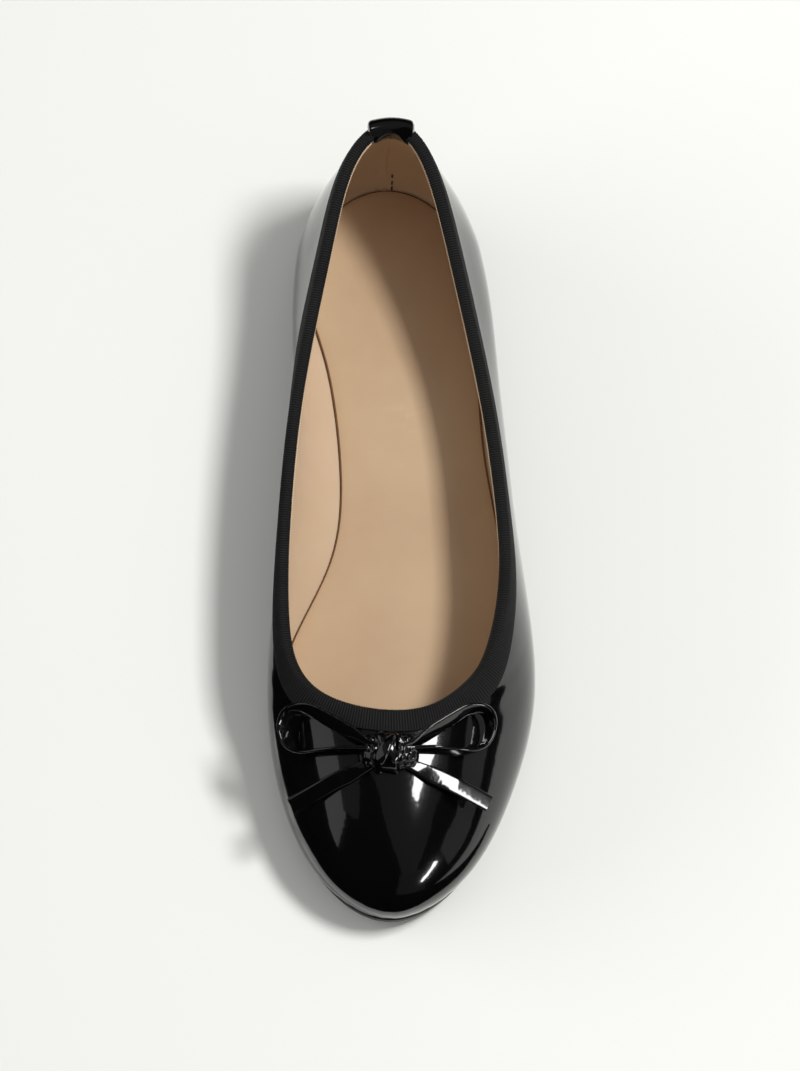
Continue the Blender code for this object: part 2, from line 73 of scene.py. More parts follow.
# Each row runs from the feather line over the swell and the shoulder to the rim. A place is (across, along,
# up), as shares of half the row's width, of the length and of the row's rise over the sole.
HEEL, WAIST, BALL = (HEEL_WIDTH, BACK_RISE), (WAIST_WIDTH, SIDE_RISE), (BALL_WIDTH, INSTEP_RISE)
SECTIONS = (
    ("heel back", *HEEL,
     (-0.060, 0.478, 0.0), (-0.060, 0.518, 0.20), (-0.060, 0.492, 0.67), (-0.065, 0.469, 1.00)),
    ("outer heel corner", *HEEL,
     (0.570, 0.433, 0.0), (0.785, 0.455, 0.20), (0.400, 0.440, 0.62), (0.302, 0.431, 0.93)),
    ("outer heel", *HEEL,
     (0.827, 0.329, 0.0), (1.125, 0.335, 0.14), (0.670, 0.335, 0.45), (0.549, 0.333, 0.742)),
    ("outer shank", *WAIST,
     (0.770, 0.216, 0.0), (1.150, 0.216, 0.16), (0.780, 0.218, 0.57), (0.694, 0.218, 0.975)),
    ("outer waist", *WAIST,
     (0.815, 0.106, 0.0), (1.185, 0.106, 0.16), (0.905, 0.108, 0.57), (0.837, 0.108, 0.93)),
    ("outer joint", *WAIST,
     (0.960, -0.004, 0.0), (1.210, -0.004, 0.20), (1.000, 0.000, 0.62), (0.926, 0.000, 0.98)),
    ("outer tread", *BALL,
     (0.905, -0.114, 0.0), (1.115, -0.114, 0.20), (0.890, -0.106, 0.61), (0.787, -0.102, 0.905)),
    ("outer ball", *BALL,
     (0.938, -0.220, 0.0), (1.165, -0.222, 0.24), (0.820, -0.204, 0.72), (0.665, -0.196, 0.925)),
    ("outer vamp", *BALL,
     (0.785, -0.326, 0.0), (0.998, -0.354, 0.33), (0.640, -0.278, 0.825), (0.467, -0.244, 0.96)),
    ("outer toe corner", *BALL,
     (0.450, -0.442, 0.0), (0.596, -0.470, 0.42), (0.350, -0.371, 0.825), (0.203, -0.273, 0.99)),
    ("toe", *BALL,
     (-0.086, -0.498, 0.0), (-0.086, -0.515, 0.41), (-0.089, -0.416, 0.805), (-0.091, -0.280, 1.00)),
    ("inner toe corner", *BALL,
     (-0.585, -0.443, 0.0), (-0.718, -0.470, 0.42), (-0.535, -0.372, 0.825), (-0.383, -0.272, 0.99)),
    ("inner vamp", *BALL,
     (-0.865, -0.333, 0.0), (-1.006, -0.354, 0.31), (-0.820, -0.282, 0.81), (-0.653, -0.250, 0.96)),
    ("inner ball", *BALL,
     (-0.940, -0.228, 0.0), (-1.060, -0.229, 0.21), (-0.960, -0.210, 0.68), (-0.852, -0.200, 0.925)),
    ("inner tread", *BALL,
     (-0.800, -0.126, 0.0), (-1.010, -0.126, 0.21), (-0.965, -0.116, 0.61), (-0.900, -0.110, 0.91)),
    ("inner joint", *WAIST,
     (-0.600, -0.020, 0.0), (-0.971, -0.018, 0.20), (-1.080, -0.012, 0.65), (-1.049, -0.012, 1.00)),
    ("inner waist", *WAIST,
     (-0.530, 0.098, 0.0), (-0.910, 0.098, 0.20), (-0.985, 0.104, 0.600), (-0.971, 0.104, 0.935)),
    ("inner shank", *WAIST,
     (-0.632, 0.216, 0.0), (-1.120, 0.216, 0.256), (-0.930, 0.218, 0.60), (-0.834, 0.218, 0.975)),
    ("inner heel", *HEEL,
     (-0.889, 0.329, 0.0), (-1.210, 0.333, 0.14), (-0.815, 0.335, 0.45), (-0.707, 0.333, 0.742)),
    ("inner heel corner", *HEEL,
     (-0.688, 0.433, 0.0), (-0.895, 0.455, 0.20), (-0.560, 0.438, 0.62), (-0.472, 0.429, 0.93)),
)
COUNT = len(SECTIONS)


def underside(along):
    """The height of the outsole's underside over the floor, at places along the shoe in metres."""
    toe = np.maximum(0.0, (TREAD_FRONT * LENGTH - along) / (TREAD_FRONT * LENGTH + LENGTH / 2))
    arch = np.clip((along - TREAD_BACK * LENGTH) / ((BREAST - TREAD_BACK) * LENGTH), 0.0, 1.0)
    return TOE_SPRING * toe ** 2 + HEEL_LIFT * (3 * arch ** 2 - 2 * arch ** 3)


def seat(along):
    return underside(along) + SOLE_THICKNESS + GAP


def real_place(width, rise, place):
    across, along, up = place
    y = along * LENGTH
    return (across * width / 2, y, seat(y) + up * rise)


def bends_of(values):
    """The second derivatives of the smooth closed curve through evenly numbered values."""
    one = np.eye(len(values))
    matrix = 4 * one + np.roll(one, 1, axis=0) + np.roll(one, -1, axis=0)
    change = np.roll(values, -1, axis=0) - 2 * values + np.roll(values, 1, axis=0)
    return np.linalg.solve(matrix, 6 * change.reshape(len(values), -1)).reshape(values.shape)


CONTROLS = np.array([[real_place(width, rise, place) for place in row] for _, width, rise, *row in SECTIONS])
BENDS = bends_of(CONTROLS)


def controls_at(stations):
    """The four control places of the wall's curve at each station, which counts sections round the shoe."""
    first = np.floor(stations).astype(int)
    t = (stations - first)[:, None, None]
    a, b = first % COUNT, (first + 1) % COUNT
    straight = (1 - t) * CONTROLS[a] + t * CONTROLS[b]
    return straight + ((1 - t) ** 3 - (1 - t)) / 6 * BENDS[a] + (t ** 3 - t) / 6 * BENDS[b]


def bare_wall(stations, v):
    """Places v of the way up the last's surface, with one v for all stations or one for each."""
    p = controls_at(stations)
    v = np.broadcast_to(v, stations.shape)[:, None]
    u = 1 - v
    return u ** 3 * p[:, 0] + 3 * v * u ** 2 * p[:, 1] + 3 * v ** 2 * u * p[:, 2] + v ** 3 * p[:, 3]


def wall_normal(stations, v):
    """The outward unit normals of the last's surface."""
    step = 0.01
    along = bare_wall(stations + step, v) - bare_wall(stations - step, v)
    up = bare_wall(stations, np.minimum(1.0, v + step)) - bare_wall(stations, np.maximum(0.0, v - step))
    normal = np.cross(up, along)
    return normal / np.linalg.norm(normal, axis=1, keepdims=True)


def wall(stations, v, offset=0.0):
    """Places v of the way up the wall, moved out by an offset."""
    offset = np.broadcast_to(offset, stations.shape)[:, None]
    return bare_wall(stations, v) + offset * wall_normal(stations, v)


def level_inward(stations, v):
    inward = -wall_normal(stations, v)
    inward[:, 2] = 0.0
    return inward / np.linalg.norm(inward, axis=1, keepdims=True)


def level_move(stations, v, distance):
    """The level move into the shoe that ends at a distance from the wall, measured square to it."""
    inward = level_inward(stations, v)
    normal = wall_normal(stations, v)
    return inward * distance / -np.sum(inward * normal, axis=1, keepdims=True)


# The drawing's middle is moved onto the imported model's, which its own facets' outermost points give.
FACET_STATIONS = np.arange(COUNT * 5) / 5
FACET_RINGS = (0.0, 0.05, 0.11, 0.18, 0.26, 0.35, 0.45, 0.56, 0.68, 0.80, 0.91, 1.0)
DRAWN = np.concatenate([wall(FACET_STATIONS, v) for v in FACET_RINGS])
PACKED_LOW, PACKED_HIGH = (np.array(corner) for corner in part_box("upper"))
SHIFT = (PACKED_LOW + PACKED_HIGH) / 2 - (DRAWN.min(axis=0) + DRAWN.max(axis=0)) / 2
SHIFT[2] = 0.0


def ring_faces(ids_a, ids_b):
    """Quads between two closed rings, given as lists of point numbers."""
    return list(zip(ids_a, np.roll(ids_a, -1), np.roll(ids_b, -1), ids_b))


def tube_faces(turns, count, capped, first=0):
    """The faces of closed rings joined in turn, with caps, or else the last ring joined to the first."""
    ids = first + np.arange(turns * count).reshape(turns, count)
    faces = []
    for k in range(turns - 1 if capped else turns):
        faces += ring_faces(ids[k], ids[(k + 1) % turns])
    return faces + [tuple(ids[0]), tuple(ids[-1])] if capped else faces


def put(name, data):
    made = bpy.data.objects.new(name, data)
    bpy.context.scene.collection.objects.link(made)
    return made


def make_piece(name, points, faces, finishes, faces_finish=None, sharp=50):
    """A mesh object with its faces turned outwards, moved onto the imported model, that rides on the shoe."""
    work = bmesh.new()
    verts = [work.verts.new(Vector(point) + Vector(SHIFT)) for point in points]
    made_faces = [work.faces.new([verts[i] for i in face]) for face in faces]
    for face, index in zip(made_faces, faces_finish or []):
        face.material_index = index
    bmesh.ops.recalc_face_normals(work, faces=work.faces)
    mesh = bpy.data.meshes.new(name)
    work.to_mesh(mesh)
    work.free()
    mesh.shade_smooth()
    mesh.set_sharp_from_angle(angle=math.radians(sharp))
    for finish in finishes:
        mesh.materials.append(finish)
    made = put(name, mesh)
    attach(made, "root")
    return made


def tube_piece(name, rings, finishes, capped=False, sharp=50, numbers=None):
    rings = np.array(rings)
    faces = tube_faces(*rings.shape[:2], capped)
    return make_piece(name, rings.reshape(-1, 3), faces, finishes, numbers, sharp)


# Soft troughs and ridges of the pulled leather, each a long low hump: its station and share up the wall,
# its turn from upright in degrees, its half length and half width, and its height, minus for a trough.
CREASES = (
    (7.45, 0.78, 62, 0.0110, 0.0026, -0.00035),
    (7.62, 0.66, 70, 0.0140, 0.0040, -0.00022),
    (12.55, 0.78, -62, 0.0110, 0.0026, -0.00035),
    (12.40, 0.64, -68, 0.0140, 0.0040, -0.00022),
    (9.15, 0.55, 10, 0.0180, 0.0060, -0.00020),
    (9.75, 0.48, -4, 0.0200, 0.0050, 0.00016),
    (10.30, 0.52, 6, 0.0200, 0.0055, -0.00020),
    (10.95, 0.55, -8, 0.0180, 0.0060, 0.00018),
    (3.40, 0.45, 80, 0.0200, 0.0080, -0.00025),
    (16.60, 0.45, -80, 0.0200, 0.0080, -0.00025),
    (1.60, 0.40, 15, 0.0120, 0.0050, 0.00018),
    (18.40, 0.40, -15, 0.0120, 0.0050, 0.00018),
)
TOE_STATION = 10
PLEATS = 9
PLEAT_STEP = 0.24
PLEAT_STRAY = 0.03
PLEAT_UP = 0.05
PLEAT_LENGTH = 0.0040
PLEAT_WIDTH = 0.0011
PLEAT_HEIGHT = -0.00012


def lasting_pleats():
    """The small tucks round the toe where the skin is gathered under it, not quite evenly."""
    first = TOE_STATION - PLEAT_STEP * (PLEATS - 1) / 2
    stations = [first + k * PLEAT_STEP + PLEAT_STRAY * (-1) ** k for k in range(PLEATS)]
    return [(station, PLEAT_UP, 0, PLEAT_LENGTH, PLEAT_WIDTH, PLEAT_HEIGHT) for station in stations]


def from_station(stations, station):
    """How far stations lie from one of them, in stations, the short way round the shoe."""
    return (stations - station + COUNT / 2) % COUNT - COUNT / 2


def crease_height(stations, v):
    """The height of all creases at places of the wall."""
    total = np.zeros(stations.shape)
    step = 0.05
    for station, up, turn, length, width, height in (*CREASES, *lasting_pleats()):
        here, turn = np.array([station]), math.radians(turn)
        around = np.linalg.norm(bare_wall(here + step, up) - bare_wall(here - step, up)) / (2 * step)
        upward = np.linalg.norm(bare_wall(here, up + step / 2) - bare_wall(here, up - step / 2)) / step
        p, q = from_station(stations, station) * around, (v - up) * upward
        run = p * math.sin(turn) + q * math.cos(turn)
        side = p * math.cos(turn) - q * math.sin(turn)
        total += height * np.exp(-(run / length) ** 2 - (side / width) ** 2)
    return total


# Even stations stand in pairs, one down each side, so that strips can run straight across the shoe. The fine
# ones stand closer at the back seam, which is a fine groove.
STEPS = 24
EVEN = np.arange(COUNT * STEPS) / STEPS
SEAM_WIDTH = 0.00055
SEAM_DEPTH = 0.00028
HEEL_REACH = 0.0245
SEAM_STEPS = np.array([-1.4, -1.0, -0.7, -0.45, -0.2, 0.0, 0.2, 0.45, 0.7, 1.0, 1.4])
SEAM_STEPS = SEAM_STEPS * SEAM_WIDTH / HEEL_REACH
SEAM_CLEAR = SEAM_STEPS[-1] * 1.2
FINE = EVEN[(EVEN > SEAM_CLEAR) & (EVEN < COUNT - SEAM_CLEAR)]
FINE = np.concatenate([SEAM_STEPS[SEAM_STEPS >= 0], FINE, COUNT + SEAM_STEPS[SEAM_STEPS < 0]])


def seam_height(stations, depth, station=0.0, width=SEAM_WIDTH):
    """The height of an upright groove, minus, at stations near its own."""
    across = from_station(stations, station) * HEEL_REACH
    return -depth * np.exp(-(across / (width / 2)) ** 2)


def colour(code):
    """A colour from its sRGB hex code, as linear light."""
    parts = [int(code[i:i + 2], 16) / 255 for i in (1, 3, 5)]
    return (*((p / 12.92 if p <= 0.04045 else ((p + 0.055) / 1.055) ** 2.4) for p in parts), 1.0)


def add_node(tree, kind, settings=None, links=None):
    """Adds a node. Settings are its own options or its sockets' values, links its sockets' sources."""
    made = tree.nodes.new(kind)
    for key, value in (settings or {}).items():
        if hasattr(made, key):
            setattr(made, key, value)
        else:
            made.inputs[key].default_value = value
    for key, source in (links or {}).items():
        tree.links.new(source, made.inputs[key])
    return made


def new_finish(name, settings):
    """A material with a Principled surface, its tree, and the object's own place as a texture's input."""
    made = bpy.data.materials.new(name)
    made.use_nodes = True
    tree = made.node_tree
    for key, value in settings.items():
        tree.nodes["Principled BSDF"].inputs[key].default_value = value
    return made, tree, add_node(tree, "ShaderNodeTexCoord").outputs["Object"]


def join_surface(tree, socket, source):
    tree.links.new(source, tree.nodes["Principled BSDF"].inputs[socket])


def cloudy(tree, place, size, detail, low_code, high_code, ends=(0.0, 1.0)):
    """A base colour that drifts between two codes, in clouds of a size in metres."""
    cloud = add_node(tree, "ShaderNodeTexNoise", {"Scale": 1 / size, "Detail": detail}, {"Vector": place})
    ramp = add_node(tree, "ShaderNodeValToRGB", links={"Fac": cloud.outputs["Fac"]})
    for element, code, end in zip(ramp.color_ramp.elements, (low_code, high_code), ends):
        element.position = end
        element.color = colour(code)
    join_surface(tree, "Base Color", ramp.outputs["Color"])


def bumps(tree, place, size, strength, depth, detail=None, under=None):
    """Relief of a size in metres, over another: soft lumps if it has a detail, or else round cells."""
    kind, output, settings = "ShaderNodeTexVoronoi", "Distance", {"Scale": 1 / size}
    if detail is not None:
        kind, output, settings = "ShaderNodeTexNoise", "Fac", {"Scale": 1 / size, "Detail": detail}
    links = {"Height": add_node(tree, kind, settings, {"Vector": place}).outputs[output]}
    if under is not None:
        links["Normal"] = under
    bump = add_node(tree, "ShaderNodeBump", {"Strength": strength, "Distance": depth}, links)
    return bump.outputs["Normal"]


def patent_calf():
    """Patent calf: black leather under a poured, fire-polished polyurethane film. The film mirrors the room
    with small ripples, and the leather's pores show only as a very faint stipple beneath it."""
    made, tree, place = new_finish("patent_calf_poured_film", {
        "Roughness": 0.14, "IOR": 1.5, "Specular IOR Level": 0.2,
        "Coat Weight": 1.0, "Coat Roughness": 0.035, "Coat IOR": 1.46,
    })
    cloudy(tree, place, 0.030, 3.0, "#040405", "#0A0A0B")
    ripples = bumps(tree, place, 0.0042, 0.35, 0.00009, detail=2.0)
    pores = bumps(tree, place, 0.0009, 0.12, 0.00003, under=ripples)
    join_surface(tree, "Normal", pores)
    join_surface(tree, "Coat Normal", ripples)
    return made


PATENT = patent_calf()
SKIN_RINGS = 64
RIM_CROWDING = 1.15


def inner_foot(stations, thickness):
    """The inner bottom edge of a layer of a thickness, level with the wall's own edge."""
    place = wall(stations, 0.0) + level_move(stations, FEATHER_BAND, thickness)
    place[:, 2] = seat(place[:, 1])
    return place


def make_upper_skin():
    """The skin's outer face, its rings closer together at the rim, where its relief fades, and its back."""
    rings = []
    for v in 1 - (1 - np.linspace(0, 1, SKIN_RINGS)) ** RIM_CROWDING:
        height = crease_height(FINE, v) + seam_height(FINE, SEAM_DEPTH)
        rings.append(wall(FINE, v, height * min(1.0, 4 * (1.02 - v))))
    rings += [wall(FINE, v, -SKIN) for v in (1.0, 0.75, 0.5, 0.25)]
    rings.append(inner_foot(FINE, SKIN))
    return tube_piece("upper_patent_skin", rings, [PATENT])


upper_skin = make_upper_skin()
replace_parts(upper_skin, "upper")


# The lining: smooth beige calf, stuck to the skin's back and turned up under the tape, where its cut edge
# stands proud as a thin pale roll. Its back seam is stitched through with brown thread.
LINING_CLEAR = 0.00005
TAPE_THICKNESS = 0.0007
TAPE_OUTER_LEG = 0.0058
TAPE_INNER_LEG = 0.0007
LINING_ROLL = (
    (0.0002, 0.0), (0.00080, 0.0), (0.00082, 0.00100), (0.00090, 0.00140), (0.00106, 0.00155),
    (0.00130, 0.00143), (0.00175, 0.00095), (0.00240, 0.00045), (0.00330, 0.00012),
)
# A soft tuck of the lining, beside the back seam and just over the sock
TUCK_STATION = -0.125
TUCK_WIDTH = 0.0016
TUCK_DEPTH = 0.0006
TUCK_REACH = 0.45


def rim_speed(stations):
    p = controls_at(stations)
    return 3 * np.linalg.norm(p[:, 3] - p[:, 2], axis=1)


def rim_place(stations, depth, offset):
    """Places by the rim: depth runs down the wall, minus above the rim, and offset outwards."""
    depth = np.broadcast_to(depth, stations.shape)
    speed = rim_speed(stations)
    place = wall(stations, 1 - np.maximum(0.0, depth) / speed, offset)
    p = controls_at(stations)
    rising = 3 * (p[:, 3] - p[:, 2]) / speed[:, None]
    return place - np.minimum(0.0, depth)[:, None] * rising


def soft_calf(name, settings, cloud, pores, waves):
    """Drum-dyed calf, smooth and barely finished: a soft satin sheen, fine pores, long waves or small
    wrinkles, and a slightly cloudy colour."""
    made, tree, place = new_finish(name, {"IOR": 1.47, **settings})
    cloudy(tree, place, *cloud)
    pored = bumps(tree, place, *pores)
    join_surface(tree, "Normal", bumps(tree, place, *waves, under=pored))
    return made


LINING = soft_calf(
    "lining_calf_drum_dyed", {"Roughness": 0.52, "Specular IOR Level": 0.35, "Sheen Weight": 0.08},
    (0.022, 4.0, "#C6AC8D", "#CEB499", (0.25, 0.8)), (0.0008, 0.25, 0.00005), (0.009, 0.3, 0.0003, 3.0))


def make_lining():
    rings = [rim_place(FINE, depth, -WALL - roll) for depth, roll in LINING_ROLL]
    top = 1 - LINING_ROLL[-1][0] / rim_speed(FINE)
    shares = np.linspace(1, 0, 40)[1:-1]
    for share in shares:
        tuck = seam_height(FINE, TUCK_DEPTH * max(0.0, 1 - share / TUCK_REACH), TUCK_STATION, TUCK_WIDTH)
        rings.append(wall(FINE, top * share, -WALL - seam_height(FINE, SEAM_DEPTH) - tuck))
    rings.append(inner_foot(FINE, WALL))
    rings.append(inner_foot(FINE, SKIN + LINING_CLEAR))
    rings += [wall(FINE, share, -SKIN - LINING_CLEAR) for share in (0.25, 0.5, 0.75)]
    rings.append(rim_place(FINE, LINING_ROLL[0][0], -SKIN - LINING_CLEAR))
    return tube_piece("upper_lining", rings, [LINING])


lining = make_lining()
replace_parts(lining, "upper")

STITCH_STATION = 0.07
STITCH_UPS = (0.045, 0.100, 0.165)
STITCH_LENGTH = 0.0019
STITCH_RADIUS = 0.00034


def make_back_stitches():
    """The brown linen thread that holds the back seam, seen as three separate stitches."""
    thread = new_finish("linen_thread_waxed", {"Base Color": colour("#5E3A22"), "Roughness": 0.6})[0]
    points, faces = [], []
    here = np.full(1, STITCH_STATION)
    turns = 2 * math.pi * np.arange(10)[:, None] / 10
    for up in STITCH_UPS:
        middle = wall(here, up, -WALL)[0]
        rise = wall(here, up + 0.02, -WALL)[0] - middle
        rise = rise / np.linalg.norm(rise)
        across = np.array((1.0, 0.0, 0.0))
        around = np.cos(turns) * across + np.sin(turns) * np.cross(rise, across)
        faces += tube_faces(9, 10, True, len(points))
        for share in np.linspace(-1, 1, 9):
            radius = STITCH_RADIUS * max(0.05, math.sqrt(1 - share ** 4))
            points += list(middle + rise * share * STITCH_LENGTH / 2 + radius * around)
    return make_piece("back_seam_stitches", points, faces, [thread])


stitches = make_back_stitches()
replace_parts(stitches, "upper")


# The insole: a sock of the same calf over thin foam, cut to the lasted upper's inside and laid in. Its
# raw edge is turned down. The dark brown band round it is partly the edge's own stain and partly painted
# shade of the groove by the lining, with a paler brown band inside it painted as that shade's soft edge.
INSOLE_THICKNESS = 0.0028
INSOLE_EDGE = 0.0010
EDGE_ROUND = 0.0028


def lining_at(stations, rise, clear):
    """The lining's places at a height over the sole, moved in by a clearance."""
    low = np.zeros(stations.shape)
    high = np.full(stations.shape, 0.6)
    for _ in range(30):
        middle = (low + high) / 2
        place = wall(stations, middle, -WALL)
        under = place[:, 2] - seat(place[:, 1]) < rise
        low = np.where(under, middle, low)
        high = np.where(under, high, middle)
    place = wall(stations, middle, -WALL)
    place = place + level_move(stations, FEATHER_BAND, clear)
    place[:, 2] = seat(place[:, 1]) + rise
    return place


# The sock's calf is the lining's, pressed smoother with an iron.
SOCK_CALF = soft_calf(
    "sock_calf_pressed", {"Roughness": 0.62, "Specular IOR Level": 0.2, "Sheen Weight": 0.05},
    (0.030, 4.0, "#BDA182", "#C6AC8C", (0.3, 0.75)), (0.0007, 0.2, 0.00004), (0.024, 0.25, 0.0004, 2.0))


def edge_stain_and_shade(name, low_code, high_code):
    """A matt edge finish drifting between two browns: the sock's stained cut edge, darkened further as
    painted shade of the groove by the lining, or a paler brown band painted as the soft edge of that shade.
    """
    made, tree, place = new_finish(name, {"Roughness": 0.8, "IOR": 1.45})
    cloudy(tree, place, 0.0012, 3.0, low_code, high_code)
    return made


def rung_faces(ids):
    """Strips across a closed ring of point numbers, from the heel back to the toe."""
    count = len(ids)
    faces = []
    for i in range(count // 2):
        corners = (i, i + 1, (count - i - 1) % count, (count - i) % count)
        faces.append(tuple(ids[k] for k in dict.fromkeys(corners)))
    return faces


def plate_piece(name, rings, finishes, ring_finish, caps_finish, sharp=50):
    """A plate: rings from the edge of its lower face round to the edge of its upper face."""
    rings = np.array(rings)
    turns, count = rings.shape[:2]
    ids = np.arange(turns * count).reshape(turns, count)
    faces, numbers = [], []
    for k in range(turns - 1):
        faces += ring_faces(ids[k], ids[k + 1])
        numbers += [ring_finish[k]] * count
    for ring, number in ((ids[0], caps_finish[0]), (ids[-1], caps_finish[1])):
        strips = rung_faces(ring)
        faces += strips
        numbers += [number] * len(strips)
    return make_piece(name, rings.reshape(-1, 3), faces, finishes, numbers, sharp)


def make_insole():
    flat = INSOLE_THICKNESS - INSOLE_EDGE
    low = inner_foot(EVEN, WALL) + level_move(EVEN, FEATHER_BAND, GAP)
    rings = [low, lining_at(EVEN, flat, GAP)]
    for k in range(1, 7):
        turn = math.pi / 2 * k / 6
        rise = flat + INSOLE_EDGE * math.sin(turn)
        rings.append(lining_at(EVEN, rise, GAP + EDGE_ROUND * (1 - math.cos(turn))))
    for inset in (0.004, 0.009):
        rings.append(lining_at(EVEN, INSOLE_THICKNESS, GAP + EDGE_ROUND + inset))
    # The side and the turned-down edge get the dark band, partly stain and partly painted shade. The next
    # band in gets the paler brown, a painted soft edge of that shade.
    numbers = [1] * 3 + [2] + [0] * (len(rings) - 5)
    finishes = [SOCK_CALF, edge_stain_and_shade("sock_edge_stain_and_painted_shade", "#2E1A0E", "#4A2E1B"),
                edge_stain_and_shade("sock_edge_painted_soft_shade", "#6E4C30", "#8A6647")]
    return plate_piece("insole_sock", rings, finishes, numbers, (1, 0), sharp=60)


insole = make_insole()
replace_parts(insole, "insole")


# The outsole: a 3 mm sheet of black resin rubber, clicked to the last's outline, its edge trimmed and
# inked. Below, a channel runs round inside the edge and the tread has fine cross ribs.
SOLE_MARGIN = 0.0002
SOLE_ROUND = 0.0008
CHANNEL_INSET = 0.0060
CHANNEL_WIDTH = 0.0012
CHANNEL_DEPTH = 0.0003
TREAD_PITCH = 0.0016
# A wave texture's phase, in radians to each unit of its scaled length
WAVE_RATE = 20.0


def sole_edge(stations, margin):
    """The feather line seen from above, moved out by a margin, at the height of the outsole's underside."""
    place = wall(stations, 0.0) - margin * level_inward(stations, 0.0)
    place[:, 2] = underside(place[:, 1])
    return place


def raised(places, rise):
    moved = places.copy()
    moved[:, 2] += rise
    return moved


def resin_rubber(name, low_code, high_code, roughness):
    """Resin rubber: pressed in sheet with a dull skin, evenly black, with a sandy grain."""
    made, tree, place = new_finish(name, {"Roughness": roughness, "IOR": 1.5})
    cloudy(tree, place, 0.012, 5.0, low_code, high_code)
    sand = bumps(tree, place, 0.0006, 0.4, 0.00008, detail=2.0)
    join_surface(tree, "Normal", sand)
    return made, tree, place, sand


def ribbed_tread():
    """The tread's pressed ribs, across the sole."""
    made, tree, place, sand = resin_rubber("resin_rubber_ribbed", "#161617", "#222224", 0.62)
    ribs = add_node(tree, "ShaderNodeTexWave", {
        "bands_direction": "Y", "Scale": 2 * math.pi / (TREAD_PITCH * WAVE_RATE), "Distortion": 0.0,
    }, {"Vector": place})
    relief = add_node(tree, "ShaderNodeBump", {"Strength": 0.6, "Distance": 0.0003},
                      {"Height": ribs.outputs["Fac"], "Normal": sand})
    join_surface(tree, "Normal", relief.outputs["Normal"])
    return made


SOLE_SHEET = resin_rubber("resin_rubber_inked_edge", "#0E0E0F", "#171718", 0.42)[0]


def make_outsole():
    inset = CHANNEL_INSET - SOLE_MARGIN
    rings = [
        sole_edge(EVEN, -inset - CHANNEL_WIDTH),
        raised(sole_edge(EVEN, -inset - CHANNEL_WIDTH * 0.8), CHANNEL_DEPTH),
        raised(sole_edge(EVEN, -inset - CHANNEL_WIDTH * 0.2), CHANNEL_DEPTH),
        sole_edge(EVEN, -inset),
    ]
    for k in range(5):
        turn = math.pi / 2 * k / 4
        out = SOLE_MARGIN - SOLE_ROUND * (1 - math.sin(turn))
        rings.append(raised(sole_edge(EVEN, out), SOLE_ROUND * (1 - math.cos(turn))))
    for k in range(4):
        turn = math.pi / 2 * k / 3
        out = SOLE_MARGIN - SOLE_ROUND * (1 - math.cos(turn))
        rings.append(raised(sole_edge(EVEN, out), SOLE_THICKNESS - SOLE_ROUND * (1 - math.sin(turn))))
    numbers = [0] * (len(rings) - 1)
    return plate_piece("outsole_sheet", rings, [SOLE_SHEET, ribbed_tread()], numbers, (1, 0))


outsole = make_outsole()
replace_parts(outsole, "outsole")


# The heel: a low block moulded in ABS and painted black, screwed up under the sole's back, with a hollowed
# breast. The top lift under it is a nailed piece of hard rubber.
TOP_LIFT_THICKNESS = 0.0025
HEEL_INSET = 0.0008
HEEL_TAPER = 0.0012
HEEL_WAIST = 0.0002
BREAST_HOLLOW = 0.0040
HEEL_ROUND = 0.0005


def breast_station(side, margin):
    """The station at which the sole's outline crosses the breast line: 1 is the outer side, -1 the inner."""
    near, far = 0.0, side * COUNT / 2
    for _ in range(40):
        middle = (near + far) / 2
        if sole_edge(np.array([middle]), margin)[0, 1] > BREAST * LENGTH:
            near = middle
        else:
            far = middle
    return near


def heel_ring(height, inset):
    """The back of the sole's outline at a height, closed by the breast's shallow curve."""
    margin = SOLE_MARGIN - HEEL_INSET - inset
    stations = np.linspace(breast_station(-1, margin), breast_station(1, margin), 121)
    ring = sole_edge(stations, margin)
    t = np.linspace(0, 1, 31)[1:-1, None]
    breast = ring[-1] + t * (ring[0] - ring[-1])
    breast[:, 1] = BREAST * LENGTH + inset + BREAST_HOLLOW * (4 * t * (1 - t))[:, 0]
    ring = np.concatenate([ring, breast])
    ring[:, 2] = height
    return ring


def painted_heel():
    """Painted ABS: moulded smooth and sprayed black, a satin face with a trace of orange peel."""
    made, tree, place = new_finish("abs_heel_sprayed", {
        "Base Color": colour("#0D0D0E"), "Roughness": 0.28, "IOR": 1.52, "Coat Weight": 0.3,
        "Coat Roughness": 0.12,
    })
    join_surface(tree, "Normal", bumps(tree, place, 0.0011, 0.25, 0.00003, detail=2.0))
    return made


def make_heel():
    top, bottom = HEEL_LIFT - GAP, TOP_LIFT_THICKNESS + GAP
    rings = [heel_ring(top, HEEL_ROUND * 0.4), heel_ring(top - HEEL_ROUND * 0.4, 0.0)]
    for share in (0.25, 0.5, 0.75):
        waist = HEEL_WAIST * math.sin(math.pi * share)
        rings.append(heel_ring(top + share * (bottom - top), HEEL_TAPER * share + waist))
    rings.append(heel_ring(bottom + HEEL_ROUND * 0.4, HEEL_TAPER))
    rings.append(heel_ring(bottom, HEEL_TAPER + HEEL_ROUND * 0.4))
    return tube_piece("heel_block", rings, [painted_heel()], capped=True, sharp=35)


def make_top_lift():
    rings = [
        heel_ring(TOP_LIFT_THICKNESS, HEEL_TAPER), heel_ring(HEEL_ROUND, HEEL_TAPER),
        heel_ring(HEEL_ROUND * 0.3, HEEL_TAPER + HEEL_ROUND * 0.3), heel_ring(0.0, HEEL_TAPER + HEEL_ROUND),
    ]
    rubber = resin_rubber("hard_rubber_top_lift", "#1A1A1B", "#262628", 0.7)[0]
    return tube_piece("top_lift_rubber", rings, [rubber], capped=True, sharp=35)


heel = make_heel()
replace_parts(heel, "heel")
top_lift = make_top_lift()
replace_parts(top_lift, "top_lift")


